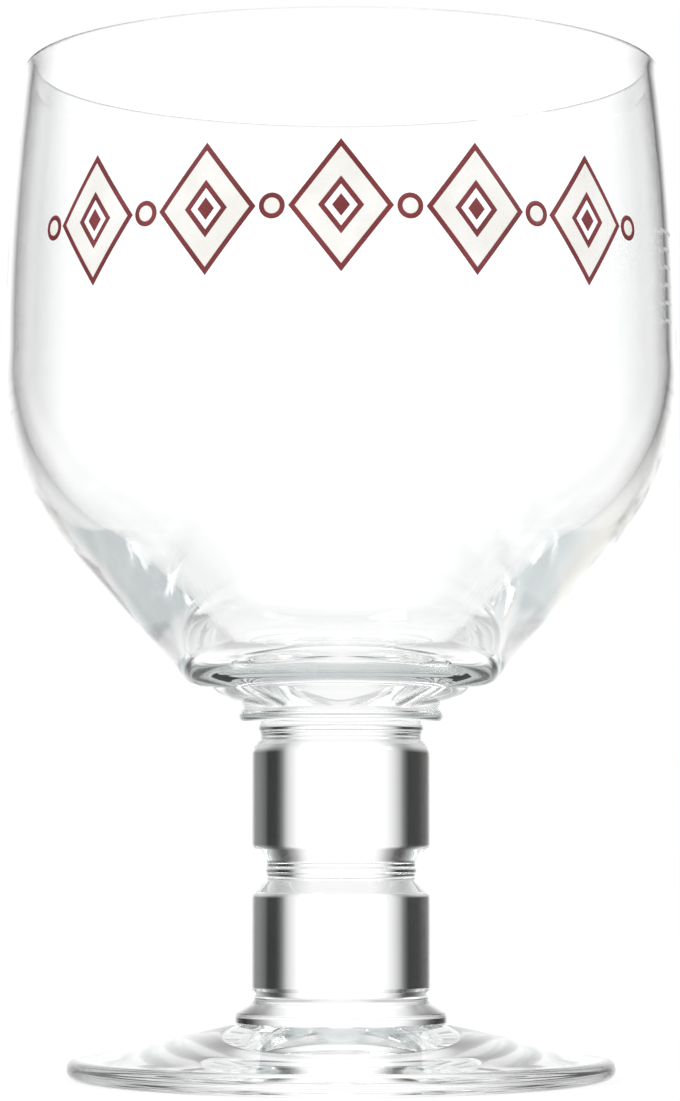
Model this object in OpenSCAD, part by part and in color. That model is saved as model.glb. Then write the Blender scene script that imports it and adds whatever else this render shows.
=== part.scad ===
// Chalice beer glass: a thick blown bowl on a stem of two solid drums and a wide foot.
// Millimetres, +Z up. The origin is the centre of the resting face. The front, with the
// middle of the printed band, looks along -Y.
// The height of each piece is its own value. The pieces stack up from the foot, and each
// one seats on the flat seal face of the piece below.

/* [Bowl] */
// Height of the bowl from its seal face to the lip
bowl_h = 94.9; // [85:0.1:120]
// Outer diameter at the widest belt
belly_d = 99.3; // [94:0.1:110]
// Outer diameter at the lip
rim_d = 94; // [80:0.1:93.9]
// Wall thickness of the upper bowl and of the rounded lip
wall_t = 1.5; // [1:0.1:2.5]
// Height of the lower edge of the widest belt above the seal face
belly_rise = 49.4; // [44:0.1:54]
// Height of the straight widest belt
belt_h = 3.5; // [2:0.1:8]
// Outer radius of the curve below the belt
low_curve_r = 39; // [36:0.5:42]
// Diameter where the straight cone turns into the bowl's underside
base_d = 43.9; // [38:0.1:50]
// Height of that turn above the seal face
base_rise = 3.2; // [2:0.1:6]
// Outer radius of that turn
base_round = 6; // [1:0.1:8]
// Diameter of the seal face under the bowl
bowl_seal_d = 28.4; // [24:0.1:30]

/* [Cup inside] */
// Thickness of the solid glass below the flat floor of the cup
floor_t = 9.2; // [7:0.1:11]
// Diameter at which the floor meets the sloping wall
floor_d = 34.8; // [31:0.1:38]
// Radius of the turn from the floor to the sloping wall
floor_round = 9.6; // [4:0.1:11]
// Radius of the inner curve from the sloping wall to the upright wall
inner_curve_r = 33.5; // [30:0.5:35]
// How far above the belt's lower edge the inner wall becomes upright
inner_lift = 1.5; // [0:0.1:1.9]

/* [Bowl collar] */
// Diameter of the thin collar under the bowl
bowl_collar_d = 30.2; // [28.6:0.1:36]
// Height of the thin collar with its seat on the neck
bowl_collar_h = 3.2; // [2.6:0.1:4]
// Thickness of the collar's rounded edge
collar_edge_t = 2; // [1:0.1:2.2]
// Diameter of the collar's seat
collar_seat_d = 24.4; // [24.2:0.1:27]

/* [Stem] */
// Diameter of the neck's two ends, below the thin collar
neck_d = 24.1; // [20:0.1:24.1]
// Height of the neck
neck_h = 1.5; // [1:0.1:6]
// Depth of the neck's hollow curve
neck_hollow = 0.15; // [0.1:0.05:0.5]
// Diameter of the two drums
drum_d = 26.3; // [26.3:0.1:32]
// Height of the upper drum
upper_drum_h = 18.5; // [14:0.1:30]
// Height of the lower drum
lower_drum_h = 17.6; // [14:0.1:30]
// Height of the upper drum's curved shoulder
shoulder_h = 2.1; // [1:0.1:4]
// How far the shoulder draws in
shoulder_draw = 1; // [0.6:0.1:1.1]
// Diameter of the drums' narrow ends beside the waist
drum_end_d = 22; // [18:0.1:24]
// Height of those narrow ends
drum_end_h = 0.8; // [0.4:0.1:2]
// Height of the slope from the narrow end to the drum's side
drum_slope_h = 2.1; // [1:0.1:3]
// Radius of the turn from the side to the slope
drum_round = 1.2; // [0.2:0.1:1.6]
// Radius of the turn from the slope to the narrow end
drum_hollow_round = 0.8; // [0.2:0.1:1]
// Diameter of the waist ring between the drums
waist_d = 22.3; // [19:0.1:24.5]
// Height of the waist ring
waist_h = 1; // [0.8:0.1:4]
// Radius of the waist ring's edges
waist_round = 0.3; // [0.1:0.05:0.35]
// Diameter of the seam under the lower drum
seam_d = 25.7; // [24.5:0.1:25.9]

/* [Foot] */
// Diameter of the foot
foot_d = 80.4; // [70:0.1:95]
// Height of the foot at its middle
foot_h = 8.3; // [6.5:0.1:12]
// Thickness of the foot's rounded edge
foot_edge_t = 3.2; // [2.5:0.1:4]
// Radius of the faint hollow curve of the foot's upper face
foot_curve_r = 280; // [200:10:600]
// Diameter of the ring between foot and stem
foot_collar_d = 31.1; // [28:0.1:36]
// Height of that ring
foot_collar_h = 4; // [3:0.1:6]
// Height of the ring's upright rim
foot_collar_rim_h = 1.2; // [1:0.1:1.8]
// Height of the ring's narrow top, above its slope
foot_collar_top_h = 1; // [0.8:0.1:1.4]
// Radius of the turns at the two ends of the slope
foot_collar_round = 0.8; // [0.3:0.1:1]
// Width of the flat ring that touches the table
rest_w = 2; // [1:0.1:4]
// Depth of the hollow under the foot
hollow_h = 1.2; // [0.5:0.1:1.8]

/* [Print] */
// Thickness of the fired enamel
enamel_t = 0.12; // [0.08:0.01:0.2]
// Height of the printed band's middle above the widest belt
print_rise = 14.1; // [9:0.1:20]
// Height of the lozenges
lozenge_h = 18.4; // [12:0.1:19]
// Width of the lozenges
lozenge_w = 14.4; // [11:0.1:15]
// Width of a lozenge's frame
frame_w = 3.9; // [2.4:0.1:4.1]
// Width of the dark outlines
line_w = 0.7; // [0.4:0.05:0.9]
// Diameter of the dots between the lozenges
dot_d = 3.6; // [2.6:0.1:4]
// Angle from one lozenge to the next
lozenge_pitch = 22; // [21.5:0.5:25]
// Number of lozenges
lozenge_count = 5; // [1:2:5]

/* [Fill mark] */
// Angle of the fill mark to the right of the front
mark_angle = 72; // [68:1:110]
// Height of the fill line above the widest belt
mark_rise = 15.5; // [14:0.1:22]
// Length of the fill line
mark_w = 6; // [3:0.1:8]
// Thickness of the fill line and of the short marks under it
mark_line_w = 0.5; // [0.3:0.05:0.8]
// Distance from one short mark to the next
mark_step = 2.6; // [1.5:0.1:3]
// Number of short marks under the line
mark_count = 5; // [1:1:5]

/* [Hidden] */
$fn = 128;

glass = "#dfe8e4";
enamel_white = "#f1eee6";
enamel_red = "#6e1f26";

curve_steps = 12;
corner_steps = 5;
short_mark_share = 0.5;
heart_share = 0.45;
print_end_share = 0.9;
collar_seat_share = 0.55;

// Seal faces, from the table up
foot_z = foot_h;
foot_collar_z = foot_z + foot_collar_h;
lower_drum_z = foot_collar_z + lower_drum_h;
waist_z = lower_drum_z + waist_h;
upper_drum_z = waist_z + upper_drum_h;
neck_z = upper_drum_z + neck_h;
bowl_z = neck_z + bowl_collar_h;

// Places on the bowl's outside
belly_r = belly_d / 2;
rim_r = rim_d / 2;
belly_z = bowl_z + belly_rise;
belt_z = belly_z + belt_h;
rim_z = bowl_z + bowl_h;
lip_rise = rim_z - wall_t / 2 - belt_z;
rim_draw = belly_r - rim_r;
side_curve_r = (lip_rise * lip_rise + rim_draw * rim_draw) / (2 * rim_draw);
side_centre = [belly_r - side_curve_r, belt_z];
lip_angle = asin(lip_rise / (side_curve_r - wall_t / 2));
low_centre = [belly_r - low_curve_r, belly_z];
base_corner = [base_d / 2, bowl_z + base_rise];
seal_corner = [bowl_seal_d / 2, bowl_z];

// Places inside the cup
inner_r = belly_r - wall_t;
inner_z = belly_z + inner_lift;
inner_centre = [inner_r - inner_curve_r, inner_z];
floor_corner = [floor_d / 2, bowl_z + floor_t];

// Places of the print. The printed stretch of the wall has its own steps.
print_z = belt_z + print_rise;
print_top_angle = lip_angle * print_end_share;
mark_z = belt_z + mark_rise;
print_depth = belly_r / 12;

function unit(v) = v / norm(v);

// Points on an arc about c, from angle a to angle b
function arc(c, r, a, b, steps) =
    [for (i = [0:steps]) let (t = a + (b - a) * i / steps) c + r * [cos(t), sin(t)]];

// The corner p between the points before and after it, turned with radius r
function turned(before, p, after, r) =
    let (u = unit(before - p), v = unit(after - p),
         half = acos(u * v) / 2,
         c = p + unit(u + v) * r / sin(half),
         a = p + u * r / tan(half) - c,
         b = p + v * r / tan(half) - c,
         start = atan2(a[1], a[0]),
         turn = atan2(b[1], b[0]) - start,
         sweep = turn > 180 ? turn - 360 : turn < -180 ? turn + 360 : turn)
    arc(c, r, start, start + sweep, corner_steps);

// An outline from corners [radius, height, turn radius]; a turn radius of 0 is a sharp corner
function outline(corners) =
    let (n = len(corners))
    [for (i = [0:n - 1])
        let (p = corners[i], q = corners[(i + n - 1) % n], s = corners[(i + 1) % n])
        each p[2] > 0
            ? turned([q[0], q[1]], [p[0], p[1]], [s[0], s[1]], p[2])
            : [[p[0], p[1]]]];

// Angle on the circle at which the line from the point p below touches its outer side
function touch_angle(c, r, p) =
    atan2(p[1] - c[1], p[0] - c[0]) + acos(r / norm(p - c));

function on_circle(c, r, a) = c + r * [cos(a), sin(a)];

low_angle = touch_angle(low_centre, low_curve_r, base_corner);
inner_angle = touch_angle(inner_centre, inner_curve_r, floor_corner);
low_touch = on_circle(low_centre, low_curve_r, low_angle);
inner_touch = on_circle(inner_centre, inner_curve_r, inner_angle);

lip_centre = on_circle(side_centre, side_curve_r - wall_t / 2, lip_angle);

// The curved upper wall from the belt to the top of its printed stretch, depth inside it
function printed_wall(depth) =
    arc(side_centre, side_curve_r - depth, 0, print_top_angle, curve_steps);

module turned_piece(points) {
    rotate_extrude() polygon(points);
}

module bowl() {
    color(glass) turned_piece(concat(
        [[0, bowl_z], seal_corner],
        turned(seal_corner, base_corner, low_touch, base_round),
        arc(low_centre, low_curve_r, low_angle, 0, curve_steps),
        printed_wall(0),
        arc(lip_centre, wall_t / 2, lip_angle, lip_angle + 180, curve_steps),
        [for (i = [curve_steps:-1:0]) printed_wall(wall_t)[i]],
        arc(inner_centre, inner_curve_r, 0, inner_angle, curve_steps),
        turned(inner_touch, floor_corner, [0, floor_corner[1]], floor_round),
        [[0, floor_corner[1]]]));
}

module bowl_collar() {
    edge = collar_edge_t / 2;
    edge_r = bowl_collar_d / 2 - edge;
    seat_r = collar_seat_d / 2;
    seat_top = neck_z + (bowl_collar_h - collar_edge_t) * collar_seat_share;
    color(glass) turned_piece(concat(
        [[0, neck_z], [seat_r, neck_z], [seat_r, seat_top]],
        arc([edge_r, bowl_z - edge], edge, -90, 90, curve_steps),
        [[0, bowl_z]]));
}

module stem_neck() {
    half_h = neck_h / 2;
    curve_r = (half_h * half_h + neck_hollow * neck_hollow) / (2 * neck_hollow);
    spread = asin(half_h / curve_r);
    centre = [neck_d / 2 - neck_hollow + curve_r, upper_drum_z + half_h];
    color(glass) turned_piece(concat(
        [[0, upper_drum_z]],
        arc(centre, curve_r, 180 + spread, 180 - spread, curve_steps),
        [[0, neck_z]]));
}

module upper_drum() {
    r = drum_d / 2;
    end_r = drum_end_d / 2;
    end_top = waist_z + drum_end_h;
    side_low = [r, end_top + drum_slope_h];
    shoulder_r = (shoulder_h * shoulder_h + shoulder_draw * shoulder_draw) / (2 * shoulder_draw);
    shoulder_c = [r - shoulder_r, upper_drum_z - shoulder_h];
    color(glass) turned_piece(concat(
        [[0, waist_z], [end_r, waist_z]],
        turned([end_r, waist_z], [end_r, end_top], side_low, drum_hollow_round),
        turned([end_r, end_top], side_low, [r, upper_drum_z], drum_round),
        arc(shoulder_c, shoulder_r, 0, asin(shoulder_h / shoulder_r), curve_steps),
        [[0, upper_drum_z]]));
}

module stem_waist() {
    r = waist_d / 2;
    color(glass) turned_piece(outline([
        [0, lower_drum_z, 0],
        [r, lower_drum_z, waist_round],
        [r, waist_z, waist_round],
        [0, waist_z, 0]]));
}

module lower_drum() {
    r = drum_d / 2;
    seam_r = seam_d / 2;
    end_r = drum_end_d / 2;
    end_low = lower_drum_z - drum_end_h;
    color(glass) turned_piece(outline([
        [0, foot_collar_z, 0],
        [seam_r, foot_collar_z, 0],
        [r, foot_collar_z + (r - seam_r) * 2, (r - seam_r) / 2],
        [r, end_low - drum_slope_h, drum_round],
        [end_r, end_low, drum_hollow_round],
        [end_r, lower_drum_z, 0],
        [0, lower_drum_z, 0]]));
}

module foot_collar() {
    r = foot_collar_d / 2;
    seam_r = seam_d / 2;
    color(glass) turned_piece(outline([
        [0, foot_z, 0],
        [r, foot_z, 0],
        [r, foot_z + foot_collar_rim_h, foot_collar_round],
        [seam_r, foot_collar_z - foot_collar_top_h, foot_collar_round],
        [seam_r, foot_collar_z, 0],
        [0, foot_collar_z, 0]]));
}

module foot() {
    edge = foot_edge_t / 2;
    top_end = [foot_d / 2 - edge, foot_edge_t];
    top_start = [foot_collar_d / 2, foot_z];
    half_run = norm(top_end - top_start) / 2;
    slope = atan2(top_end[1] - top_start[1], top_end[0] - top_start[0]);
    lift = sqrt(foot_curve_r * foot_curve_r - half_run * half_run);
    centre = (top_end + top_start) / 2 + lift * [-sin(slope), cos(slope)];
    spread = asin(half_run / foot_curve_r);
    rest_r = foot_d / 2 - foot_edge_t;
    hollow_r = rest_r - rest_w;
    hollow_curve_r = (hollow_r * hollow_r + hollow_h * hollow_h) / (2 * hollow_h);
    hollow_angle = asin(hollow_r / hollow_curve_r);
    color(glass) turned_piece(concat(
        arc([0, hollow_h - hollow_curve_r], hollow_curve_r, 90, 90 - hollow_angle, corner_steps),
        [[rest_r, 0]],
        arc([foot_d / 2 - edge, edge], edge, -90, 90, curve_steps),
        arc(centre, foot_curve_r, slope - 90 + spread, slope - 90 - spread, curve_steps),
        [[0, foot_z]]));
}

// A thin skin on the outside of the bowl's upper wall, on the wall's own points
module enamel_skin() {
    wall = printed_wall(0);
    turned_piece(concat(wall, [for (i = [len(wall) - 1:-1:0]) wall[i] + [enamel_t, 0]]));
}

// Takes a flat drawing to the wall at an angle to the right of the front
module on_wall(angle, z) {
    rotate([0, 0, angle])
        translate([0, print_depth - belly_r, z])
            rotate([90, 0, 0])
                linear_extrude(height = print_depth * 2) children();
}

// A lozenge whose sides lie inset from those of the full one
module lozenge(inset) {
    a = lozenge_w / 2;
    b = lozenge_h / 2;
    share = 1 - inset * norm([a, b]) / (a * b);
    polygon([[a * share, 0], [0, b * share], [-a * share, 0], [0, -b * share]]);
}

module lozenge_ring(outer, inner) {
    difference() {
        lozenge(outer);
        lozenge(inner);
    }
}

module each_lozenge() {
    for (i = [0:lozenge_count - 1])
        on_wall((i - (lozenge_count - 1) / 2) * lozenge_pitch, print_z) children();
}

module each_dot() {
    for (i = [0:lozenge_count])
        on_wall((i - lozenge_count / 2) * lozenge_pitch, print_z) children();
}

module print_fill() {
    color(enamel_white) intersection() {
        enamel_skin();
        union() {
            each_lozenge() lozenge_ring(line_w, frame_w - line_w);
            each_dot() circle(d = dot_d - line_w * 2);
        }
    }
}

module print_outline() {
    middle = lozenge_w * lozenge_h / norm([lozenge_w, lozenge_h]) / 2;
    heart = frame_w + (middle - frame_w) * heart_share;
    color(enamel_red) intersection() {
        enamel_skin();
        union() {
            each_lozenge() {
                lozenge_ring(0, line_w);
                lozenge_ring(frame_w - line_w, frame_w);
                lozenge(heart);
            }
            each_dot() difference() {
                circle(d = dot_d);
                circle(d = dot_d - line_w * 2);
            }
        }
    }
}

module fill_mark() {
    color(enamel_white) intersection() {
        enamel_skin();
        on_wall(mark_angle, mark_z) union() {
            square([mark_w, mark_line_w], center = true);
            for (i = [1:mark_count])
                translate([0, -i * mark_step])
                    square([mark_w * short_mark_share, mark_line_w], center = true);
        }
    }
}

bowl();
bowl_collar();
stem_neck();
upper_drum();
stem_waist();
lower_drum();
foot_collar();
foot();
print_fill();
print_outline();
fill_mark();
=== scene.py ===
"""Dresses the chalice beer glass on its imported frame.

The glass is a stack of clear pieces turned about one axis and joined hot: a thick bowl, a
thin collar, a neck, two drums with a waist between them, a ring and a wide foot. A band of
lozenges and a small fill mark are fired on the bowl in enamel. All lengths are in metres in
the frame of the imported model: +Z up, and the middle of the band looks along -Y.
"""

from __future__ import annotations

import logging
import math
from dataclasses import dataclass, field
from enum import Enum

import bpy
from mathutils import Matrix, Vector

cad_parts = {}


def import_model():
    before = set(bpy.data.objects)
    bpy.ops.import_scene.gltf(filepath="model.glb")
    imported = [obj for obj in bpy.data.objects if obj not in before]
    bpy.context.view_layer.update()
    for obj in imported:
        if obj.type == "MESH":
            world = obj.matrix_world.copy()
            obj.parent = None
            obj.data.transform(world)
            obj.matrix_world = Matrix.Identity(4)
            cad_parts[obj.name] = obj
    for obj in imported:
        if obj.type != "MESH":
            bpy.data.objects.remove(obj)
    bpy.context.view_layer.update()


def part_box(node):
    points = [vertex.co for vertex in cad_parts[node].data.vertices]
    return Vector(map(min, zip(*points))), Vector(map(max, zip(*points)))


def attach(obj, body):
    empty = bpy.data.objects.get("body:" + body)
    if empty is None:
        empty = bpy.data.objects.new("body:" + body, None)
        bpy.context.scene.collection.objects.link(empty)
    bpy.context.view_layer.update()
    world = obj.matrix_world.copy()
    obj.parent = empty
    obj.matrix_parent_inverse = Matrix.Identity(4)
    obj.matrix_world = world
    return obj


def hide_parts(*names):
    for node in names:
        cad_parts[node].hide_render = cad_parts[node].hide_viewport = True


log = logging.getLogger("chalice")

MM = 0.001
TURN_STEPS = 192
ARC_STEPS = 24
CORNER_STEPS = 10
WELD = 1e-6
LEVEL_NORMAL = 0.99
GLASS_SMOOTH, ENAMEL_SMOOTH = math.radians(35), math.radians(40)
EDGE_STEPS = 2
EDGE_SHARE = 0.25
BODY = "root"
SENSOR = 36.0
GLASS_BOUNCES = 40

# Radii of the hot joins
CUP_SEAL = 14.1 * MM
NECK_SEAL = 12.05 * MM
WAIST_SEAL = 10.85 * MM
STEM_SEAL = 12.85 * MM
FOOT_SEAL = 15.55 * MM

# The making of the glass and the enamel: scale and detail of a noise, and what it is mapped to
SHORT_WAVE_SHARE = 0.25
CLOUDS, GRAIN = (160.0, 3.0), (2600.0, 2.0)
COVER_RANGE, SHEEN_RANGE = (0.35, 0.65), (0.18, 0.42)

Point = tuple[float, float]


# Outlines


def arc(
    centre: Point, radius: float, start: float, end: float, steps: int = ARC_STEPS
) -> list[Point]:
    """Points on an arc.

    Args:
        centre: The arc's centre, as distance from the axis and height.
        radius: The arc's radius.
        start: The first point's angle in degrees.
        end: The last point's angle in degrees.
        steps: How many straight steps the arc takes.

    Returns:
        The points from start to end.
    """
    angles = (math.radians(start + (end - start) * i / steps) for i in range(steps + 1))
    return [(centre[0] + radius * math.cos(a), centre[1] + radius * math.sin(a)) for a in angles]


def rounded(before: Point, corner: Point, after: Point, radius: float) -> list[Point]:
    """A corner turned with a radius.

    Args:
        before: The outline's point before the corner.
        corner: The sharp corner.
        after: The outline's point after the corner.
        radius: The radius of the turn.

    Returns:
        The points of the rounded corner.
    """
    p = Vector(corner)
    u = (Vector(before) - p).normalized()
    v = (Vector(after) - p).normalized()
    half = u.angle(v) / 2
    centre = p + (u + v).normalized() * radius / math.sin(half)
    first = p + u * radius / math.tan(half) - centre
    last = p + v * radius / math.tan(half) - centre
    start = math.degrees(math.atan2(first.y, first.x))
    turn = (math.degrees(math.atan2(last.y, last.x)) - start + 180) % 360 - 180
    return arc(tuple(centre), radius, start, start + turn, CORNER_STEPS)


def touch_angle(centre: Point, radius: float, below: Point) -> float:
    """Where a line from a point below touches the outer side of a circle.

    Args:
        centre: The circle's centre.
        radius: The circle's radius.
        below: The point that the line comes from.

    Returns:
        The angle of the touching point on the circle, in degrees.
    """
    dx, dy = below[0] - centre[0], below[1] - centre[1]
    return math.degrees(math.atan2(dy, dx) + math.acos(radius / math.hypot(dx, dy)))


# Finishes


def new_group(name: str, inputs: dict[str, str], outputs: dict[str, str]) -> bpy.types.NodeTree:
    """An empty shader group with its sockets.

    Args:
        name: The group's name.
        inputs: Each input's name with its socket type.
        outputs: Each output's name with its socket type.

    Returns:
        The group, which holds its Group Input and Group Output nodes.
    """
    group = bpy.data.node_groups.new(name, "ShaderNodeTree")
    for side, sockets in (("INPUT", inputs), ("OUTPUT", outputs)):
        for label, kind in sockets.items():
            group.interface.new_socket(name=label, in_out=side, socket_type=kind)
    group.nodes.new("NodeGroupInput")
    group.nodes.new("NodeGroupOutput")
    return group


def waves_group() -> bpy.types.NodeTree:
    """The soft unevenness of blown glass, as a height.

    Returns:
        A group with the inputs Vector, Long Waves and Short Waves, and the output Height.
    """
    group = new_group(
        "glass_waves",
        {
            "Vector": "NodeSocketVector",
            "Long Waves": "NodeSocketFloat",
            "Short Waves": "NodeSocketFloat",
        },
        {"Height": "NodeSocketFloat"},
    )
    nodes, links = group.nodes, group.links
    given, made = nodes["Group Input"], nodes["Group Output"]
    long_waves, short_waves = nodes.new("ShaderNodeTexNoise"), nodes.new("ShaderNodeTexNoise")
    both = nodes.new("ShaderNodeMath")
    both.operation = "MULTIPLY_ADD"
    both.inputs[1].default_value = SHORT_WAVE_SHARE
    for waves, label in ((long_waves, "Long Waves"), (short_waves, "Short Waves")):
        waves.inputs["Detail"].default_value = 1.0
        links.new(given.outputs["Vector"], waves.inputs["Vector"])
        links.new(given.outputs[label], waves.inputs["Scale"])
    links.new(short_waves.outputs["Fac"], both.inputs[0])
    links.new(long_waves.outputs["Fac"], both.inputs[2])
    links.new(both.outputs[0], made.inputs["Height"])
    return group


def mottle_group() -> bpy.types.NodeTree:
    """The uneven coat of screen-printed enamel.

    Returns:
        A group with the inputs Vector, Thick Colour and Thin Colour, and the outputs Colour,
        Roughness and Height.
    """
    group = new_group(
        "enamel_mottle",
        {
            "Vector": "NodeSocketVector",
            "Thick Colour": "NodeSocketColor",
            "Thin Colour": "NodeSocketColor",
        },
        {"Colour": "NodeSocketColor", "Roughness": "NodeSocketFloat", "Height": "NodeSocketFloat"},
    )
    nodes, links = group.nodes, group.links
    given, made = nodes["Group Input"], nodes["Group Output"]
    clouds, grain = nodes.new("ShaderNodeTexNoise"), nodes.new("ShaderNodeTexNoise")
    for noise, (scale, detail) in ((clouds, CLOUDS), (grain, GRAIN)):
        noise.inputs["Scale"].default_value = scale
        noise.inputs["Detail"].default_value = detail
        links.new(given.outputs["Vector"], noise.inputs["Vector"])
    cover = nodes.new("ShaderNodeMapRange")
    cover.inputs["From Min"].default_value, cover.inputs["From Max"].default_value = COVER_RANGE
    links.new(clouds.outputs["Fac"], cover.inputs["Value"])
    blend = nodes.new("ShaderNodeMix")
    blend.data_type = "RGBA"
    links.new(cover.outputs["Result"], blend.inputs["Factor"])
    links.new(given.outputs["Thick Colour"], blend.inputs["A"])
    links.new(given.outputs["Thin Colour"], blend.inputs["B"])
    links.new(blend.outputs["Result"], made.inputs["Colour"])
    sheen = nodes.new("ShaderNodeMapRange")
    sheen.inputs["To Min"].default_value, sheen.inputs["To Max"].default_value = SHEEN_RANGE
    links.new(grain.outputs["Fac"], sheen.inputs["Value"])
    links.new(sheen.outputs["Result"], made.inputs["Roughness"])
    links.new(grain.outputs["Fac"], made.inputs["Height"])
    return group


def blank_material(name: str) -> tuple[bpy.types.Material, bpy.types.Node, bpy.types.Node]:
    """A material with only a Principled node and object coordinates.

    Args:
        name: The material's name.

    Returns:
        The material, its Principled node and its Texture Coordinate node.
    """
    material = bpy.data.materials.new(name)
    material.use_nodes = True
    shader = material.node_tree.nodes["Principled BSDF"]
    return material, shader, material.node_tree.nodes.new("ShaderNodeTexCoord")


@dataclass(frozen=True)
class GlassFinish:
    """Clear polished glass with the soft waves of its making.

    Attributes:
        name: The material's name.
        tint: The faint colour of the glass.
        long_waves: Long waves per metre.
        short_waves: Short waves per metre.
        wave_depth: Height of the waves in metres.
        roughness: How much the surface scatters what is seen through it.
        refraction: The refractive index.
    """

    name: str
    tint: tuple[float, float, float] = (0.996, 0.999, 0.998)
    long_waves: float = 40.0
    short_waves: float = 160.0
    wave_depth: float = 0.00003
    roughness: float = 0.0
    refraction: float = 1.52

    def material(self, waves: bpy.types.NodeTree) -> bpy.types.Material:
        """Builds the material.

        Args:
            waves: The shared group that makes the waves.

        Returns:
            The material.
        """
        material, shader, places = blank_material(self.name)
        nodes, links = material.node_tree.nodes, material.node_tree.links
        shader.inputs["Base Color"].default_value = (*self.tint, 1.0)
        shader.inputs["Roughness"].default_value = self.roughness
        shader.inputs["IOR"].default_value = self.refraction
        shader.inputs["Transmission Weight"].default_value = 1.0
        uneven = nodes.new("ShaderNodeGroup")
        uneven.node_tree = waves
        uneven.inputs["Long Waves"].default_value = self.long_waves
        uneven.inputs["Short Waves"].default_value = self.short_waves
        links.new(places.outputs["Object"], uneven.inputs["Vector"])
        bump = nodes.new("ShaderNodeBump")
        bump.inputs["Strength"].default_value = 1.0
        bump.inputs["Distance"].default_value = self.wave_depth
        links.new(uneven.outputs["Height"], bump.inputs["Height"])
        links.new(bump.outputs["Normal"], shader.inputs["Normal"])
        return material


@dataclass(frozen=True)
class JoinFinish:
    """The hot join between two pieces, where the glass runs on and nothing shows.

    Attributes:
        name: The material's name.
    """

    name: str = "hot_join"

    def material(self) -> bpy.types.Material:
        """Builds the material, which lets every ray through.

        Returns:
            The material.
        """
        material, shader, _ = blank_material(self.name)
        shader.inputs["Alpha"].default_value = 0.0
        return material


@dataclass(frozen=True)
class EnamelFinish:
    """Fired enamel, a little uneven where the screen left less of it.

    Attributes:
        name: The material's name.
        thick: Its colour where it lies thick.
        thin: Its colour where it lies thin.
        grain_depth: Depth of its fine grain in metres.
        refraction: The refractive index.
    """

    name: str
    thick: tuple[float, float, float]
    thin: tuple[float, float, float]
    grain_depth: float = 0.000008
    refraction: float = 1.5

    def material(self, mottle: bpy.types.NodeTree) -> bpy.types.Material:
        """Builds the material.

        Args:
            mottle: The shared group that makes the coat uneven.

        Returns:
            The material.
        """
        material, shader, places = blank_material(self.name)
        nodes, links = material.node_tree.nodes, material.node_tree.links
        coat = nodes.new("ShaderNodeGroup")
        coat.node_tree = mottle
        coat.inputs["Thick Colour"].default_value = (*self.thick, 1.0)
        coat.inputs["Thin Colour"].default_value = (*self.thin, 1.0)
        links.new(places.outputs["Object"], coat.inputs["Vector"])
        links.new(coat.outputs["Colour"], shader.inputs["Base Color"])
        links.new(coat.outputs["Roughness"], shader.inputs["Roughness"])
        bump = nodes.new("ShaderNodeBump")
        bump.inputs["Distance"].default_value = self.grain_depth
        links.new(coat.outputs["Height"], bump.inputs["Height"])
        links.new(bump.outputs["Normal"], shader.inputs["Normal"])
        shader.inputs["IOR"].default_value = self.refraction
        return material


@dataclass
class Finishes:
    """Every material of the glass, built once."""

    bowl: bpy.types.Material = field(init=False)
    stem: bpy.types.Material = field(init=False)
    foot: bpy.types.Material = field(init=False)
    join: bpy.types.Material = field(init=False)
    white: bpy.types.Material = field(init=False)
    red: bpy.types.Material = field(init=False)
    mark: bpy.types.Material = field(init=False)

    def __post_init__(self) -> None:
        """Builds the shared groups and then the materials."""
        waves, mottle = waves_group(), mottle_group()
        self.bowl = GlassFinish("blown_glass").material(waves)
        self.stem = GlassFinish("solid_glass", wave_depth=0.00002).material(waves)
        self.foot = GlassFinish("foot_glass", wave_depth=0.00002, roughness=0.03).material(waves)
        self.join = JoinFinish().material()
        self.white, self.red, self.mark = (
            EnamelFinish(name, thick, thin).material(mottle)
            for name, thick, thin in (
                ("white_enamel", (0.84, 0.82, 0.78), (0.92, 0.91, 0.88)),
                ("dark_red_enamel", (0.16, 0.012, 0.016), (0.23, 0.03, 0.036)),
                ("pale_mark_enamel", (0.6, 0.62, 0.62), (0.7, 0.72, 0.72)),
            )
        )


# Modelling by hand


def deselect_all() -> None:
    """Goes to object mode and deselects everything."""
    if bpy.context.mode != "OBJECT":
        bpy.ops.object.mode_set(mode="OBJECT")
    bpy.ops.object.select_all(action="DESELECT")


def edit(piece: bpy.types.Object) -> None:
    """Opens one piece for editing, with all of it selected.

    Args:
        piece: The piece to edit.
    """
    deselect_all()
    bpy.context.view_layer.objects.active = piece
    piece.select_set(True)
    bpy.ops.object.mode_set(mode="EDIT")
    bpy.ops.mesh.select_all(action="SELECT")


def turn_on_axis(name: str, outline: list[Point]) -> bpy.types.Object:
    """Draws an outline point by point and spins it about the Z axis.

    Args:
        name: The new piece's name.
        outline: Distances from the axis and heights, from the axis below to the axis above.

    Returns:
        A closed piece whose faces point outwards.
    """
    deselect_all()
    bpy.ops.mesh.primitive_plane_add(size=MM, location=(0, 0, 0))
    piece = bpy.context.object
    piece.name = piece.data.name = name
    edit(piece)
    bpy.ops.mesh.merge(type="CENTER")
    bpy.ops.transform.translate(value=(outline[0][0], 0, outline[0][1]))
    for (r, z), (next_r, next_z) in zip(outline, outline[1:]):
        step = {"value": (next_r - r, 0, next_z - z)}
        bpy.ops.mesh.extrude_region_move(TRANSFORM_OT_translate=step)
    bpy.ops.mesh.select_all(action="SELECT")
    bpy.ops.mesh.spin(steps=TURN_STEPS, angle=math.tau, center=(0, 0, 0), axis=(0, 0, 1))
    bpy.ops.mesh.select_all(action="SELECT")
    bpy.ops.mesh.remove_doubles(threshold=WELD)
    bpy.ops.mesh.normals_make_consistent(inside=False)
    bpy.ops.object.mode_set(mode="OBJECT")
    bpy.ops.object.shade_smooth_by_angle(angle=GLASS_SMOOTH)
    return piece


class Join(Enum):
    """The ends of a piece that can be joined hot to a neighbour."""

    BELOW = 0
    ABOVE = 1


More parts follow.
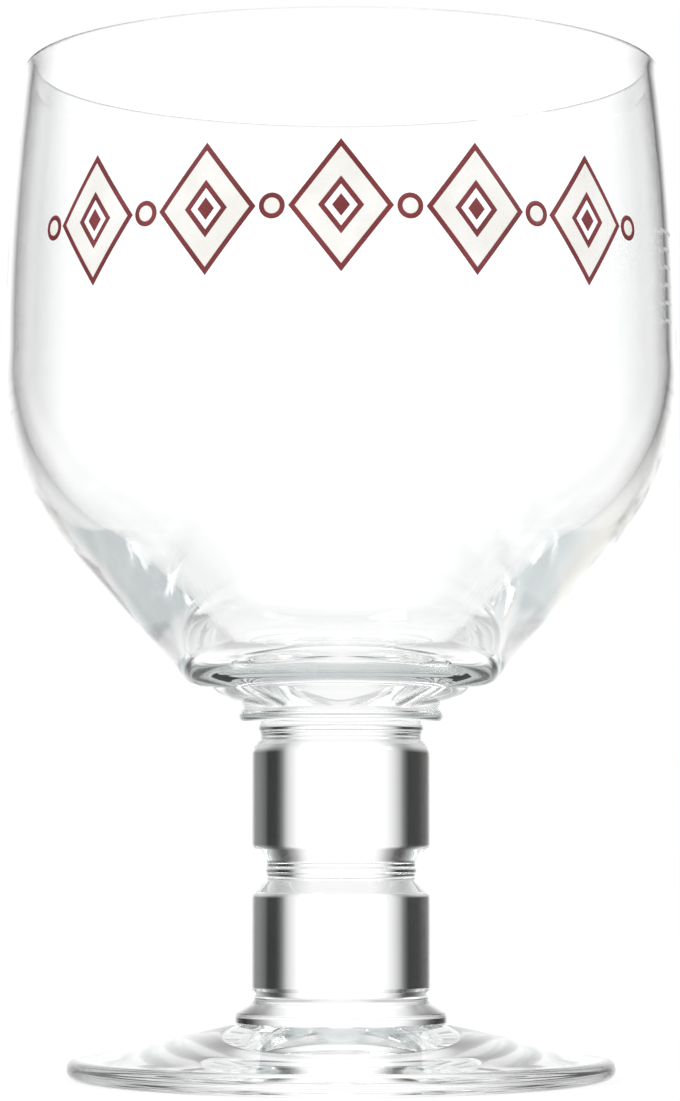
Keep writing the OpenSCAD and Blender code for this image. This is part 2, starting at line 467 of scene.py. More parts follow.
@dataclass
class TurnedGlass:
    """One piece of glass, turned about the axis, which stands for one CAD node.

    Attributes:
        node: The CAD node that it replaces, whose name it takes.
        joins: Each joined end with the radius of the seal there.
        bottom: Height of its lower end.
        top: Height of its upper end.
        widest: Its largest distance from the axis.
    """

    node: str
    joins: dict[Join, float]
    bottom: float = field(init=False)
    top: float = field(init=False)
    widest: float = field(init=False)

    def __post_init__(self) -> None:
        """Takes the piece's levels and largest radius from its CAD node."""
        low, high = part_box(self.node)
        self.bottom, self.top, self.widest = low.z, high.z, high.x

    def outline(self) -> list[Point]:
        """The outline from the axis below to the axis above."""
        raise NotImplementedError

    def join_height(self, end: Join) -> float:
        """Height of a joined end."""
        return self.bottom if end is Join.BELOW else self.top

    def with_seals(self) -> list[Point]:
        """The outline with a point where each seal ends on a wider flat face.

        Returns:
            The outline's points.
        """
        points = self.outline()
        for end, radius in self.joins.items():
            at = 1 if end is Join.BELOW else len(points) - 1
            flat = points[1] if end is Join.BELOW else points[-2]
            if flat[0] > radius + WELD:
                points.insert(at, (radius, self.join_height(end)))
        return points

    def build(self, glass: bpy.types.Material, join: bpy.types.Material) -> None:
        """Turns the piece and dresses it.

        Args:
            glass: The material of its free surfaces.
            join: The material of its sealed faces.
        """
        piece = turn_on_axis(f"glass_{self.node}", self.with_seals())
        piece.data.materials.append(glass)
        piece.data.materials.append(join)
        for face in piece.data.polygons:
            for end, radius in self.joins.items():
                level = abs(face.center.z - self.join_height(end)) < WELD
                inside = math.hypot(face.center.x, face.center.y) < radius
                if level and inside and abs(face.normal.z) > LEVEL_NORMAL:
                    face.material_index = 1
        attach(piece, BODY)
        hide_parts(self.node)
        log.info("%s: %d faces", piece.name, len(piece.data.polygons))


# The pieces of glass


@dataclass
class Bowl(TurnedGlass):
    """The cup: a thin upper wall that runs down into a thick cone and a solid floor."""

    rim_r: float = 47.0 * MM
    wall: float = 1.5 * MM
    belly_rise: float = 49.4 * MM
    belt_h: float = 3.5 * MM
    low_curve_r: float = 39.0 * MM
    base_r: float = 21.95 * MM
    base_rise: float = 3.2 * MM
    base_round: float = 6.0 * MM
    seal_r: float = 14.2 * MM
    floor: float = 9.2 * MM
    floor_r: float = 17.4 * MM
    floor_round: float = 9.6 * MM
    inner_curve_r: float = 33.5 * MM
    inner_lift: float = 1.5 * MM
    belly_r: float = 49.65 * MM

    @property
    def belt_top(self) -> float:
        """Height of the upper edge of the widest belt."""
        return self.bottom + self.belly_rise + self.belt_h

    @property
    def side_curve(self) -> tuple[Point, float, float]:
        """The curve of the upper outside.

        Returns:
            Its centre, its radius and its end angle in degrees.
        """
        rise = self.top - self.wall / 2 - self.belt_top
        draw = self.belly_r - self.rim_r
        radius = (rise * rise + draw * draw) / (2 * draw)
        centre = (self.belly_r - radius, self.belt_top)
        return centre, radius, math.degrees(math.asin(rise / (radius - self.wall / 2)))

    def outer_r(self, z: float) -> float:
        """Outer radius of the upper wall.

        Args:
            z: A height at or above the widest belt.

        Returns:
            The wall's distance from the axis there.
        """
        centre, radius, _ = self.side_curve
        return centre[0] + math.sqrt(radius * radius - (z - centre[1]) ** 2)

    def outline(self) -> list[Point]:
        """The outside from the seal up to the lip, and the inside down to the floor.

        Returns:
            The outline's points.
        """
        seal = (self.seal_r, self.bottom)
        base = (self.base_r, self.bottom + self.base_rise)
        belly = (self.belly_r - self.low_curve_r, self.bottom + self.belly_rise)
        low_angle = touch_angle(belly, self.low_curve_r, base)
        low_wall = arc(belly, self.low_curve_r, low_angle, 0)
        centre, radius, lip_angle = self.side_curve
        lip = arc(centre, radius - self.wall / 2, lip_angle, lip_angle, 1)[0]
        inner_r = self.belly_r - self.wall
        turn = (inner_r - self.inner_curve_r, belly[1] + self.inner_lift)
        floor = (self.floor_r, self.bottom + self.floor)
        inner_wall = arc(turn, self.inner_curve_r, 0, touch_angle(turn, self.inner_curve_r, floor))
        return [
            (0, self.bottom),
            seal,
            *rounded(seal, base, low_wall[0], self.base_round),
            *low_wall,
            *arc(centre, radius, 0, lip_angle),
            *arc(lip, self.wall / 2, lip_angle, lip_angle + 180)[1:-1],
            *arc(centre, radius - self.wall, lip_angle, 0),
            *inner_wall,
            *rounded(inner_wall[-1], floor, (0, floor[1]), self.floor_round),
            (0, floor[1]),
        ]


@dataclass
class Collar(TurnedGlass):
    """The thin disc under the bowl: a seat, a flat cone and a fully rounded edge."""

    edge_t: float = 2.0 * MM
    seat_r: float = 12.2 * MM
    seat_share: float = 0.55

    def outline(self) -> list[Point]:
        """Seat, cone and half-round edge.

        Returns:
            The outline's points.
        """
        edge = self.edge_t / 2
        seat_top = self.bottom + (self.top - self.bottom - self.edge_t) * self.seat_share
        side = arc((self.widest - edge, self.top - edge), edge, -90, 90)
        seat = [(self.seat_r, self.bottom), (self.seat_r, seat_top)]
        return [(0, self.bottom), *seat, *side, (0, self.top)]


@dataclass
class Neck(TurnedGlass):
    """The short neck, a little hollow at its middle."""

    hollow: float = 0.15 * MM

    def outline(self) -> list[Point]:
        """A short cylinder whose side is an arc that bends inwards.

        Returns:
            The outline's points.
        """
        half = (self.top - self.bottom) / 2
        radius = (half * half + self.hollow * self.hollow) / (2 * self.hollow)
        spread = math.degrees(math.asin(half / radius))
        centre = (self.widest - self.hollow + radius, self.bottom + half)
        return [(0, self.bottom), *arc(centre, radius, 180 + spread, 180 - spread), (0, self.top)]


@dataclass
class Drum(TurnedGlass):
    """A drum with a narrow end beside the waist and a slope out to its side."""

    end_r: float = 11.0 * MM
    end_h: float = 0.8 * MM
    slope_h: float = 2.1 * MM
    slope_round: float = 1.2 * MM
    hollow_round: float = 0.8 * MM


@dataclass
class UpperDrum(Drum):
    """The upper drum, with a curved shoulder above."""

    shoulder_h: float = 2.1 * MM
    shoulder_draw: float = 1.0 * MM

    def outline(self) -> list[Point]:
        """Narrow end, slope, side and shoulder.

        Returns:
            The outline's points.
        """
        end, turn = (self.end_r, self.bottom), (self.end_r, self.bottom + self.end_h)
        low, high = (self.widest, turn[1] + self.slope_h), (self.widest, self.top)
        radius = (self.shoulder_h**2 + self.shoulder_draw**2) / (2 * self.shoulder_draw)
        centre = (self.widest - radius, self.top - self.shoulder_h)
        return [
            (0, self.bottom),
            end,
            *rounded(end, turn, low, self.hollow_round),
            *rounded(turn, low, high, self.slope_round),
            *arc(centre, radius, 0, math.degrees(math.asin(self.shoulder_h / radius))),
            (0, self.top),
        ]


@dataclass
class Waist(TurnedGlass):
    """The fine ring between the drums."""

    edge_round: float = 0.3 * MM

    def outline(self) -> list[Point]:
        """A short side with rounded edges.

        Returns:
            The outline's points.
        """
        start, low = (0, self.bottom), (self.widest, self.bottom)
        high, end = (self.widest, self.top), (0, self.top)
        return [
            start,
            *rounded(start, low, high, self.edge_round),
            *rounded(low, high, end, self.edge_round),
            end,
        ]


@dataclass
class LowerDrum(Drum):
    """The lower drum, with a fine seam below."""

    seam_r: float = STEM_SEAL

    def outline(self) -> list[Point]:
        """Seam, side, slope and narrow end.

        Returns:
            The outline's points.
        """
        step = self.widest - self.seam_r
        seam = (self.seam_r, self.bottom)
        low = (self.widest, self.bottom + step * 2)
        end, turn = (self.end_r, self.top), (self.end_r, self.top - self.end_h)
        high = (self.widest, turn[1] - self.slope_h)
        return [
            (0, self.bottom),
            seam,
            *rounded(seam, low, high, step / 2),
            *rounded(low, high, turn, self.slope_round),
            *rounded(high, turn, end, self.hollow_round),
            end,
            (0, self.top),
        ]


@dataclass
class FootCollar(TurnedGlass):
    """The low ring that spreads the stem on the foot."""

    seam_r: float = STEM_SEAL
    rim_h: float = 1.2 * MM
    top_h: float = 1.0 * MM
    turn_r: float = 0.8 * MM

    def outline(self) -> list[Point]:
        """An upright rim, a slope with soft turns and a narrow top.

        Returns:
            The outline's points.
        """
        foot, outer = (self.widest, self.bottom), (self.widest, self.bottom + self.rim_h)
        inner, seam = (self.seam_r, self.top - self.top_h), (self.seam_r, self.top)
        return [
            (0, self.bottom),
            foot,
            *rounded(foot, outer, inner, self.turn_r),
            *rounded(outer, inner, seam, self.turn_r),
            seam,
            (0, self.top),
        ]


@dataclass
class Foot(TurnedGlass):
    """The wide foot: hollow below, faintly dished above, with a fully rounded edge."""

    edge_t: float = 3.2 * MM
    seat_r: float = FOOT_SEAL
    dish_r: float = 280.0 * MM
    rest_w: float = 2.0 * MM
    hollow: float = 1.2 * MM

    def outline(self) -> list[Point]:
        """The hollow underside, the edge, and the dished upper face up to the seat.

        Returns:
            The outline's points.
        """
        edge = self.edge_t / 2
        rest_r = self.widest - self.edge_t
        hollow_r = rest_r - self.rest_w
        curve_r = (hollow_r**2 + self.hollow**2) / (2 * self.hollow)
        reach = math.degrees(math.asin(hollow_r / curve_r))
        below = arc((0, self.hollow - curve_r), curve_r, 90, 90 - reach)
        start, end = Vector((self.seat_r, self.top)), Vector((self.widest - edge, self.edge_t))
        run = end - start
        lean = math.degrees(math.atan2(run.y, run.x))
        lift = math.sqrt(self.dish_r**2 - (run.length / 2) ** 2)
        normal = Vector((-math.sin(math.radians(lean)), math.cos(math.radians(lean))))
        centre = (start + end) / 2 + normal * lift
        spread = math.degrees(math.asin(run.length / 2 / self.dish_r))
        return [
            *below,
            (rest_r, 0),
            *arc((self.widest - edge, edge), edge, -90, 90),
            *arc(tuple(centre), self.dish_r, lean - 90 + spread, lean - 90 - spread)[1:],
            (0, self.top),
        ]


# The print


class Ink(Enum):
    """The enamels of the print."""

    WHITE = "enamel_white"
    RED = "enamel_red"


@dataclass
class Wall:
    """The outside of the bowl, which the enamel is wrapped on.

    Attributes:
        bowl: The bowl that carries the enamel.
        lift: How far the enamel's underside stands off the glass.
    """

    bowl: Bowl
    lift: float = 0.01 * MM

    def wrap(self, piece: bpy.types.Object, angle: float, height: float) -> None:
        """Bends a flat drawing round the wall.

        Args:
            piece: A mesh drawn in the XY plane about its middle, X to the right and Y up.
            angle: The place of its middle, in degrees to the right of the front.
            height: The height of its middle.
        """
        turn = math.radians(angle)
        for vertex in piece.data.vertices:
            across, z = vertex.co.x, vertex.co.y + height
            radius = self.bowl.outer_r(z) + self.lift
            out = math.sqrt(radius * radius - across * across)
            vertex.co = (
                across * math.cos(turn) + out * math.sin(turn),
                across * math.sin(turn) - out * math.cos(turn),
                z,
            )
        piece.data.update()


def keep_faces(piece: bpy.types.Object, name: str, wanted: list[bool]) -> bpy.types.Object:
    """A copy of a piece that has only some of its faces.

    Args:
        piece: The piece to copy.
        name: The copy's name.
        wanted: For each face, whether the copy keeps it.

    Returns:
        The copy.
    """
    copy = piece.copy()
    copy.data = piece.data.copy()
    copy.name = copy.data.name = name
    bpy.context.collection.objects.link(copy)
    edit(copy)
    bpy.ops.mesh.select_mode(type="FACE")
    bpy.ops.mesh.select_all(action="DESELECT")
    bpy.ops.object.mode_set(mode="OBJECT")
    for face, keep in zip(copy.data.polygons, wanted):
        face.select = not keep
    bpy.ops.object.mode_set(mode="EDIT")
    bpy.ops.mesh.delete(type="FACE")
    bpy.ops.object.mode_set(mode="OBJECT")
    return copy


def join_pieces(name: str, parts: list[bpy.types.Object]) -> bpy.types.Object:
    """Joins copies into one piece.

    Args:
        name: The joined piece's name.
        parts: The copies.

    Returns:
        The joined piece.
    """
    deselect_all()
    for part in parts:
        part.select_set(True)
    bpy.context.view_layer.objects.active = parts[0]
    bpy.ops.object.join()
    piece = bpy.context.object
    piece.name = piece.data.name = name
    return piece


def thicken(piece: bpy.types.Object, thickness: float) -> None:
    """Gives a wrapped skin its thickness outwards and a soft edge.

    Args:
        piece: The skin, whose faces point away from the glass.
        thickness: The enamel's thickness.
    """
    deselect_all()
    bpy.context.view_layer.objects.active = piece
    piece.select_set(True)
    coat = piece.modifiers.new("coat", "SOLIDIFY")
    coat.thickness, coat.offset = thickness, 1.0
    edge = piece.modifiers.new("edge", "BEVEL")
    edge.width, edge.segments = thickness * EDGE_SHARE, EDGE_STEPS
    edge.limit_method = "ANGLE"
    for modifier in ("coat", "edge"):
        bpy.ops.object.modifier_apply(modifier=modifier)
    bpy.ops.object.shade_smooth_by_angle(angle=ENAMEL_SMOOTH)


@dataclass
class EnamelBand:
    """A level band of framed lozenges with dots between them.

    Attributes:
        wall: The wall that it is fired on.
        middle: Height of its middle above the widest belt.
    """

    wall: Wall
    middle: float = 14.1 * MM
    lozenge_w: float = 14.4 * MM
    lozenge_h: float = 18.4 * MM
    frame_w: float = 3.9 * MM
    line_w: float = 0.7 * MM
    dot_r: float = 1.8 * MM
    pitch: float = 22.0
    count: int = 5
    heart_share: float = 0.45
    cuts: int = 7
    dot_sides: int = 40
    enamel_t: float = 0.1 * MM

    def lozenge(self) -> bpy.types.Object:
        """A flat lozenge with its lines inset from its edge.

        Returns:
            The lozenge, drawn in the XY plane.
        """
        deselect_all()
        bpy.ops.mesh.primitive_circle_add(vertices=4, radius=1, fill_type="NGON")
        piece = bpy.context.object
        edit(piece)
        bpy.ops.transform.resize(value=(self.lozenge_w / 2, self.lozenge_h / 2, 1))
        middle = self.frame_w - self.line_w * 2
        heart = self.heart_depth - self.frame_w
        for step in (self.line_w, middle, self.line_w, heart):
            bpy.ops.mesh.inset(thickness=step, use_even_offset=True)
        bpy.ops.mesh.select_all(action="SELECT")
        bpy.ops.mesh.subdivide(number_cuts=self.cuts)
        bpy.ops.object.mode_set(mode="OBJECT")
        return piece

    @property
    def heart_depth(self) -> float:
        """How deep inside the lozenge's edge the heart's edge lies."""
        return self.frame_w + (self.depth_in(0, 0) - self.frame_w) * self.heart_share

    def depth_in(self, x: float, y: float) -> float:
        """How far a place lies inside the lozenge's edge."""
        a, b = self.lozenge_w / 2, self.lozenge_h / 2
        return (1 - abs(x) / a - abs(y) / b) * a * b / math.hypot(a, b)

    def dot(self) -> bpy.types.Object:
        """A flat dot with its outline inset from its edge.

        Returns:
            The dot, drawn in the XY plane.
        """
        deselect_all()
        bpy.ops.mesh.primitive_circle_add(
            vertices=self.dot_sides, radius=self.dot_r, fill_type="TRIFAN"
        )
        piece = bpy.context.object
        edit(piece)
        for step in (self.line_w, (self.dot_r - self.line_w) / 2):
            bpy.ops.mesh.inset(thickness=step, use_even_offset=True)
        bpy.ops.object.mode_set(mode="OBJECT")
        return piece

    def inks(self, piece: bpy.types.Object, is_dot: bool) -> list[Ink | None]:
        """The enamel of each face of a flat drawing, or None where the glass stays bare.

        Args:
            piece: The flat lozenge or dot.
            is_dot: Whether it is the dot.

        Returns:
            One entry for each face.
        """
        heart = self.heart_depth
        found: list[Ink | None] = []
        for face in piece.data.polygons:
            x, y = face.center.x, face.center.y
            depth = self.dot_r - math.hypot(x, y) if is_dot else self.depth_in(x, y)
            if depth < self.line_w:
                found.append(Ink.RED)
            elif is_dot or depth < self.frame_w - self.line_w:
                found.append(Ink.WHITE)
            elif depth < self.frame_w or depth > heart:
                found.append(Ink.RED)
            else:
                found.append(None)
        return found

    def build(self, finishes: Finishes) -> None:
        """Draws the lozenge and the dot once, copies them round the wall and coats them.

        Args:
            finishes: The materials.
        """
        height = self.wall.bowl.belt_top + self.middle
        lozenges = [(i - (self.count - 1) / 2) * self.pitch for i in range(self.count)]
        dots = [(i - self.count / 2) * self.pitch for i in range(self.count + 1)]
        drawings = [(self.lozenge(), lozenges, False), (self.dot(), dots, True)]
        for ink, node, material in (
            (Ink.WHITE, "print_fill", finishes.white),
            (Ink.RED, "print_outline", finishes.red),
        ):
            parts = []
            for drawing, angles, is_dot in drawings:
                wanted = [found is ink for found in self.inks(drawing, is_dot)]
                for angle in angles:
                    part = keep_faces(drawing, "part", wanted)
                    self.wall.wrap(part, angle, height)
                    parts.append(part)
            piece = join_pieces(f"enamel_{node}", parts)
            thicken(piece, self.enamel_t)
            piece.data.materials.append(material)
            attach(piece, BODY)
            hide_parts(node)
            log.info("%s: %d faces", piece.name, len(piece.data.polygons))
        for drawing, _, _ in drawings:
            bpy.data.objects.remove(drawing)


@dataclass
class FillMark:
    """A short fill line with plain marks under it, at the right side of the bowl."""

    wall: Wall
    rise: float = 15.5 * MM
    angle: float = 72.0
    width: float = 6.0 * MM
    line_w: float = 0.5 * MM
    step: float = 2.6 * MM
    count: int = 5
    short_share: float = 0.5
    cuts: int = 5
    enamel_t: float = 0.1 * MM

    def bar(self, width: float, drop: float) -> bpy.types.Object:
        """A flat bar.

        Args:
            width: The bar's length.
            drop: How far it lies below the fill line.

        Returns:
            The bar, drawn in the XY plane.
        """
        deselect_all()
        bpy.ops.mesh.primitive_plane_add(size=1)
        piece = bpy.context.object
        edit(piece)
        bpy.ops.transform.resize(value=(width, self.line_w, 1))
        bpy.ops.transform.translate(value=(0, -drop, 0))
        bpy.ops.mesh.subdivide(number_cuts=self.cuts)
        bpy.ops.object.mode_set(mode="OBJECT")
        return piece

    def build(self, finishes: Finishes) -> None:
        """Draws the bars, wraps them and coats them.

        Args:
            finishes: The materials.
        """
        bars = [self.bar(self.width, 0)]
        for i in range(1, self.count + 1):
            bars.append(self.bar(self.width * self.short_share, self.step * i))
        piece = join_pieces("enamel_fill_mark", bars)
        self.wall.wrap(piece, self.angle, self.wall.bowl.belt_top + self.rise)
        thicken(piece, self.enamel_t)
        piece.data.materials.append(finishes.mark)
        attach(piece, BODY)
        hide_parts("fill_mark")
        log.info("%s: %d faces", piece.name, len(piece.data.polygons))


# The studio


class Tone(Enum):
    """The colours of the studio's light."""

    PLAIN = (1.0, 1.0, 1.0)
    COOL = (0.92, 1.0, 1.01)
    WARM = (1.0, 0.985, 0.92)


@dataclass(frozen=True)
class Stop:
    """One stop of a run of light.

    Attributes:
        at: Its place, in degrees to the right of straight behind the glass.
        level: Its brightness, where 1 is white.
        tone: Its colour.
    """

    at: float
    level: float
    tone: Tone = Tone.PLAIN


def mirrored(*right: Stop) -> tuple[Stop, ...]:
    """A run of light that is the same on both sides.

    Args:
        right: The stops of its right side, from the middle outwards.

    Returns:
        All its stops, from left to right.
    """
    left = (Stop(-stop.at, stop.level, stop.tone) for stop in reversed(right))
    return (*left, *right)


@dataclass(frozen=True)
class Layer:
    """A height of the light tent with its own light all round.

    Attributes:
        starts: The height angle where it begins to show, in degrees.
        full: The height angle from which only it shows, until the next layer starts.
        stops: Its light from left to right, at most 32 stops.
    """

    starts: float
    full: float
    stops: tuple[Stop, ...]


@dataclass(frozen=True)
class Lamp:
    """A soft square lamp.

    Attributes:
        name: Its name.
        place: Where it hangs.
        power: Its power in watts.
        size: The length of its side.
    """

    name: str
    place: tuple[float, float, float]
    power: float
    size: float = 0.7

    def hang(self, aim: Vector) -> None:
        """Hangs the lamp so that it faces a place.

        Args:
            aim: The place.
        """
        light = bpy.data.lights.new(self.name, "AREA")
        light.size, light.energy = self.size, self.power
        lamp = bpy.data.objects.new(self.name, light)
        lamp.location = self.place
        lamp.rotation_euler = (aim - Vector(self.place)).to_track_quat("-Z", "Y").to_euler()
        bpy.context.scene.collection.objects.link(lamp)


@dataclass
class Studio:
    """Floor, light and camera: a bright backdrop with dark sides, as for clear glass.

    Attributes:
        distance: From the camera to the axis of the glass.
        eye: Height of the camera.
        tilt: How far the camera looks up, in degrees.
        lens: Focal length for the sensor's long side.
        aside: How far the camera stands to the left, which puts the axis where the photo has it.
        near: The nearest distance that the camera sees.
        floor_size: The floor's side.
        floor_grey: The floor's own colour.
        floor_roughness: The roughness of the floor.
        floor_glow: The floor's own glow, for the camera only.
        floor_share: The share of that glow in what is seen of the floor.
        tent_r: Radius of the light tent.
        tent_z: Height of the tent's middle.
        tent_rings: How many rings of faces the tent has, from the ground to the top.
        ambient: The level of the light all round.
        backdrop: The tent's strength, a little over white as behind the real glass.
        lamp_aim: The height that the lamps face.
        lamps: The lamps.
        layers: The tent's light from the ground to the top.
    """

    distance: float = 0.5701
    eye: float = 0.0380
    tilt: float = 3.958
    lens: float = 126.56
    aside: float = 0.00015
    near: float = 0.01
    floor_size: float = 8.0
    floor_grey: float = 0.86
    floor_roughness: float = 0.9
    floor_glow: float = 1.05
    floor_share: float = 0.85
    tent_r: float = 3.0
    tent_z: float = 0.077
    tent_rings: int = 48
    ambient: float = 0.85
    backdrop: float = 1.12
    lamp_aim: float = 0.08
    lamps: tuple[Lamp, ...] = (
        Lamp("key_lamp", (-0.9, -0.8, 1.2), 7.0),
        Lamp("fill_lamp", (1.1, -0.6, 0.9), 3.5),
    )
    layers: tuple[Layer, ...] = (
        Layer(-90, -90, mirrored(
            Stop(15, 0.86), Stop(22, 0.72), Stop(27, 0.58), Stop(46, 0.55), Stop(60, 0.66),
            Stop(78, 0.75), Stop(180, 0.85),
        )),
        Layer(-25, -20, mirrored(
            Stop(17, 0.93), Stop(24, 0.68), Stop(30, 0.38), Stop(37, 0.3), Stop(44, 0.45),
            Stop(50, 0.55), Stop(60, 0.64), Stop(78, 0.7), Stop(125, 0.76), Stop(150, 0.88),
            Stop(180, 0.92),
        )),
        Layer(-17, -4, (
            Stop(-180, 0.9, Tone.WARM), Stop(-168, 0.85, Tone.WARM), Stop(-160, 0.4),
            Stop(-150, 0.9, Tone.WARM), Stop(-128, 0.85, Tone.WARM), Stop(-112, 0.68, Tone.COOL),
            Stop(-93, 0.54, Tone.COOL), Stop(-83, 0.31, Tone.COOL), Stop(-62, 0.05), Stop(-48, 0.0),
            Stop(-37, 0.0), Stop(-33, 0.13), Stop(-29.5, 0.45), Stop(-25.5, 0.72), Stop(-18, 1.06),
            Stop(-14, 1.14), Stop(14, 1.14), Stop(18, 1.06), Stop(25.5, 0.64), Stop(27.5, 0.44),
            Stop(29.5, 0.2), Stop(32, 0.05), Stop(35, 0.0), Stop(43, 0.0), Stop(47, 0.1),
            Stop(54, 0.18), Stop(75, 0.3, Tone.COOL), Stop(93, 0.5, Tone.COOL),
            Stop(128, 0.53, Tone.COOL), Stop(150, 0.75), Stop(160, 0.4), Stop(180, 0.9, Tone.WARM),
        )),
        Layer(12, 18, (
            Stop(-180, 0.75, Tone.WARM), Stop(-120, 0.7, Tone.COOL), Stop(-75, 0.7, Tone.COOL),
            Stop(-58, 0.35, Tone.COOL), Stop(-46, 0.1), Stop(-38, 0.0), Stop(-32, 0.05),
            Stop(-25, 0.4), Stop(-20, 0.78), Stop(-15, 1.0), Stop(15, 1.0), Stop(20, 0.78),
            Stop(25, 0.38),
            Stop(32, 0.05), Stop(38, 0.0), Stop(46, 0.1), Stop(58, 0.35, Tone.COOL),
            Stop(75, 0.7, Tone.COOL), Stop(120, 0.6, Tone.COOL), Stop(180, 0.75, Tone.WARM),
        )),
        Layer(40, 60, mirrored(Stop(180, 0.55, Tone.COOL))),
    )

    def camera(self) -> None:
        """Places the camera as the photograph was taken."""
        lens = bpy.data.cameras.new("photo_camera")
        lens.lens, lens.sensor_width, lens.clip_start = self.lens, SENSOR, self.near
        camera = bpy.data.objects.new("photo_camera", lens)
        camera.location = (-self.aside, -self.distance, self.eye)
        camera.rotation_euler = (math.radians(90 + self.tilt), 0, 0)
        bpy.context.scene.collection.objects.link(camera)
        bpy.context.scene.camera = camera

    def seen_rays(self, tree: bpy.types.NodeTree) -> bpy.types.NodeSocket:
        """A socket that is 1 for camera, glossy and transmission rays, and 0 for the rest.

        Args:
            tree: The node tree that it is made in.

        Returns:
            The socket.
        """
        path = tree.nodes.new("ShaderNodeLightPath")
        total = path.outputs["Is Camera Ray"]
        for name in ("Is Glossy Ray", "Is Transmission Ray"):
            add = tree.nodes.new("ShaderNodeMath")
            add.operation, add.use_clamp = "ADD", True
            tree.links.new(total, add.inputs[0])
            tree.links.new(path.outputs[name], add.inputs[1])
            total = add.outputs[0]
        return total

    def run_of_light(
        self, tree: bpy.types.NodeTree, angle: bpy.types.NodeSocket, stops: tuple[Stop, ...]
    ) -> bpy.types.NodeSocket:
        """A colour ramp over an angle.

        Args:
            tree: The node tree that it is made in.
            angle: The socket with the angle in radians.
            stops: The stops, from the first place to the last.

        Returns:
            The ramp's colour.
        """
        first, last = stops[0].at, stops[-1].at
        reach = tree.nodes.new("ShaderNodeMapRange")
        reach.inputs["From Min"].default_value = math.radians(first)
        reach.inputs["From Max"].default_value = math.radians(last)
        ramp = tree.nodes.new("ShaderNodeValToRGB")
        for i, stop in enumerate(stops):
            at = (stop.at - first) / (last - first)
            element = ramp.color_ramp.elements[i] if i < 2 else ramp.color_ramp.elements.new(at)
            element.position = at
            element.color = (*(stop.level * part for part in stop.tone.value), 1)
        tree.links.new(angle, reach.inputs["Value"])
        tree.links.new(reach.outputs["Result"], ramp.inputs["Fac"])
        return ramp.outputs["Color"]

    def floor(self) -> None:
        """A pale floor that keeps a soft shadow and melts into the backdrop."""
        deselect_all()
        bpy.ops.mesh.primitive_plane_add(size=self.floor_size)
        floor = bpy.context.object
        floor.name = "floor"
        material, shader, _ = blank_material("pale_floor")
        tree = material.node_tree
        shader.inputs["Base Color"].default_value = (*[self.floor_grey] * 3, 1)
        shader.inputs["Roughness"].default_value = self.floor_roughness
        path, glow, mix, share = (
            tree.nodes.new(f"ShaderNode{kind}")
            for kind in ("LightPath", "Emission", "MixShader", "Math")
        )
        glow.inputs["Color"].default_value = (1, 1, 1, 1)
        glow.inputs["Strength"].default_value = self.floor_glow
        share.operation = "MULTIPLY"
        share.inputs[1].default_value = self.floor_share
        for source, target in (
            (path.outputs["Is Camera Ray"], share.inputs[0]),
            (share.outputs[0], mix.inputs["Fac"]),
            (shader.outputs["BSDF"], mix.inputs[1]),
            (glow.outputs["Emission"], mix.inputs[2]),
            (mix.outputs[0], tree.nodes["Material Output"].inputs["Surface"]),
        ):
            tree.links.new(source, target)
        floor.data.materials.append(material)
        floor.visible_glossy = floor.visible_transmission = False

    def tent(self) -> None:
        """A light tent round the glass that only its reflections and refractions show."""
        deselect_all()
        bpy.ops.mesh.primitive_uv_sphere_add(
            radius=self.tent_r, segments=self.tent_rings * 2, ring_count=self.tent_rings
        )
        tent = bpy.context.object
        tent.name = "light_tent"
        edit(tent)
        bpy.ops.mesh.flip_normals()
        bpy.ops.object.mode_set(mode="OBJECT")
        tent.location = (0, 0, self.tent_z)
        material, _, places = blank_material("tent_light")
        tree = material.node_tree
        split, round_about, length, up, tilt, glow = (
            tree.nodes.new(f"ShaderNode{kind}")
            for kind in ("SeparateXYZ", "Math", "VectorMath", "Math", "Math", "Emission")
        )
        length.operation, round_about.operation = "LENGTH", "ARCTAN2"
        up.operation, tilt.operation = "DIVIDE", "ARCSINE"
        for source, target in (
            (places.outputs["Object"], split.inputs[0]),
            (places.outputs["Object"], length.inputs[0]),
            (split.outputs["X"], round_about.inputs[0]),
            (split.outputs["Y"], round_about.inputs[1]),
            (split.outputs["Z"], up.inputs[0]),
            (length.outputs["Value"], up.inputs[1]),
            (up.outputs[0], tilt.inputs[0]),
        ):
            tree.links.new(source, target)
        light = self.run_of_light(tree, round_about.outputs[0], self.layers[0].stops)
        for layer in self.layers[1:]:
            share, both = tree.nodes.new("ShaderNodeMapRange"), tree.nodes.new("ShaderNodeMix")
            both.data_type = "RGBA"
            share.inputs["From Min"].default_value = math.radians(layer.starts)
            share.inputs["From Max"].default_value = math.radians(layer.full)
            tree.links.new(tilt.outputs[0], share.inputs["Value"])
            tree.links.new(share.outputs["Result"], both.inputs["Factor"])
            tree.links.new(light, both.inputs["A"])
            above = self.run_of_light(tree, round_about.outputs[0], layer.stops)
            tree.links.new(above, both.inputs["B"])
            light = both.outputs["Result"]
        tree.links.new(light, glow.inputs["Color"])
        tree.links.new(glow.outputs["Emission"], tree.nodes["Material Output"].inputs["Surface"])
        glow.inputs["Strength"].default_value = self.backdrop
        tent.data.materials.append(material)
        tent.visible_camera = tent.visible_diffuse = tent.visible_shadow = False

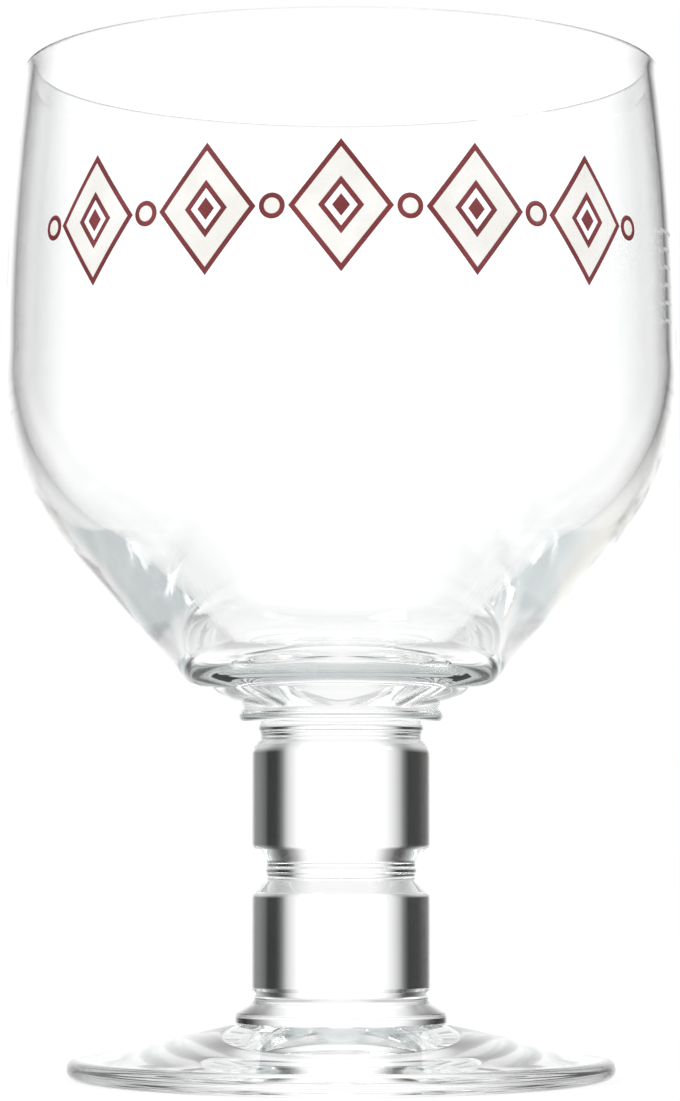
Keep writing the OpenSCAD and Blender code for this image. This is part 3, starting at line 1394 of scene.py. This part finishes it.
    def world(self) -> None:
        """A white world for what the camera sees, and a plain level for what it lights."""
        world = bpy.data.worlds.new("studio")
        bpy.context.scene.world = world
        world.use_nodes = True
        tree = world.node_tree
        level, sky = tree.nodes.new("ShaderNodeMapRange"), tree.nodes["Background"]
        level.inputs["To Min"].default_value = self.ambient
        sky.inputs["Color"].default_value = (1, 1, 1, 1)
        tree.links.new(self.seen_rays(tree), level.inputs["Value"])
        tree.links.new(level.outputs["Result"], sky.inputs["Strength"])

    def build(self) -> None:
        """Sets up the studio."""
        self.camera()
        self.floor()
        self.tent()
        self.world()
        for lamp in self.lamps:
            lamp.hang(Vector((0, 0, self.lamp_aim)))
        log.info("studio: camera %.0f mm away", self.distance / MM)


def set_render() -> None:
    """Standard view, and enough bounces for light that crosses all the walls of the glass."""
    scene = bpy.context.scene
    scene.view_settings.view_transform = "Standard"
    cycles = scene.cycles
    cycles.max_bounces = cycles.transmission_bounces = cycles.glossy_bounces = GLASS_BOUNCES
    cycles.transparent_max_bounces = GLASS_BOUNCES


def main() -> None:
    """Builds every piece on the frame, then the studio."""
    logging.basicConfig(level=logging.INFO, format="%(name)s: %(message)s")
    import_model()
    set_render()
    finishes = Finishes()
    bowl = Bowl("bowl", {Join.BELOW: CUP_SEAL})
    bowl.build(finishes.bowl, finishes.join)
    stem = (
        Collar("bowl_collar", {Join.BELOW: NECK_SEAL, Join.ABOVE: CUP_SEAL}),
        Neck("stem_neck", {Join.BELOW: NECK_SEAL, Join.ABOVE: NECK_SEAL}),
        UpperDrum("upper_drum", {Join.BELOW: WAIST_SEAL, Join.ABOVE: NECK_SEAL}),
        Waist("stem_waist", {Join.BELOW: WAIST_SEAL, Join.ABOVE: WAIST_SEAL}),
        LowerDrum("lower_drum", {Join.BELOW: STEM_SEAL, Join.ABOVE: WAIST_SEAL}),
        FootCollar("foot_collar", {Join.BELOW: FOOT_SEAL, Join.ABOVE: STEM_SEAL}),
    )
    for piece in stem:
        piece.build(finishes.stem, finishes.join)
    Foot("foot", {Join.ABOVE: FOOT_SEAL}).build(finishes.foot, finishes.join)
    wall = Wall(bowl)
    EnamelBand(wall).build(finishes)
    FillMark(wall).build(finishes)
    Studio().build()


if __name__ == "__main__":
    main()
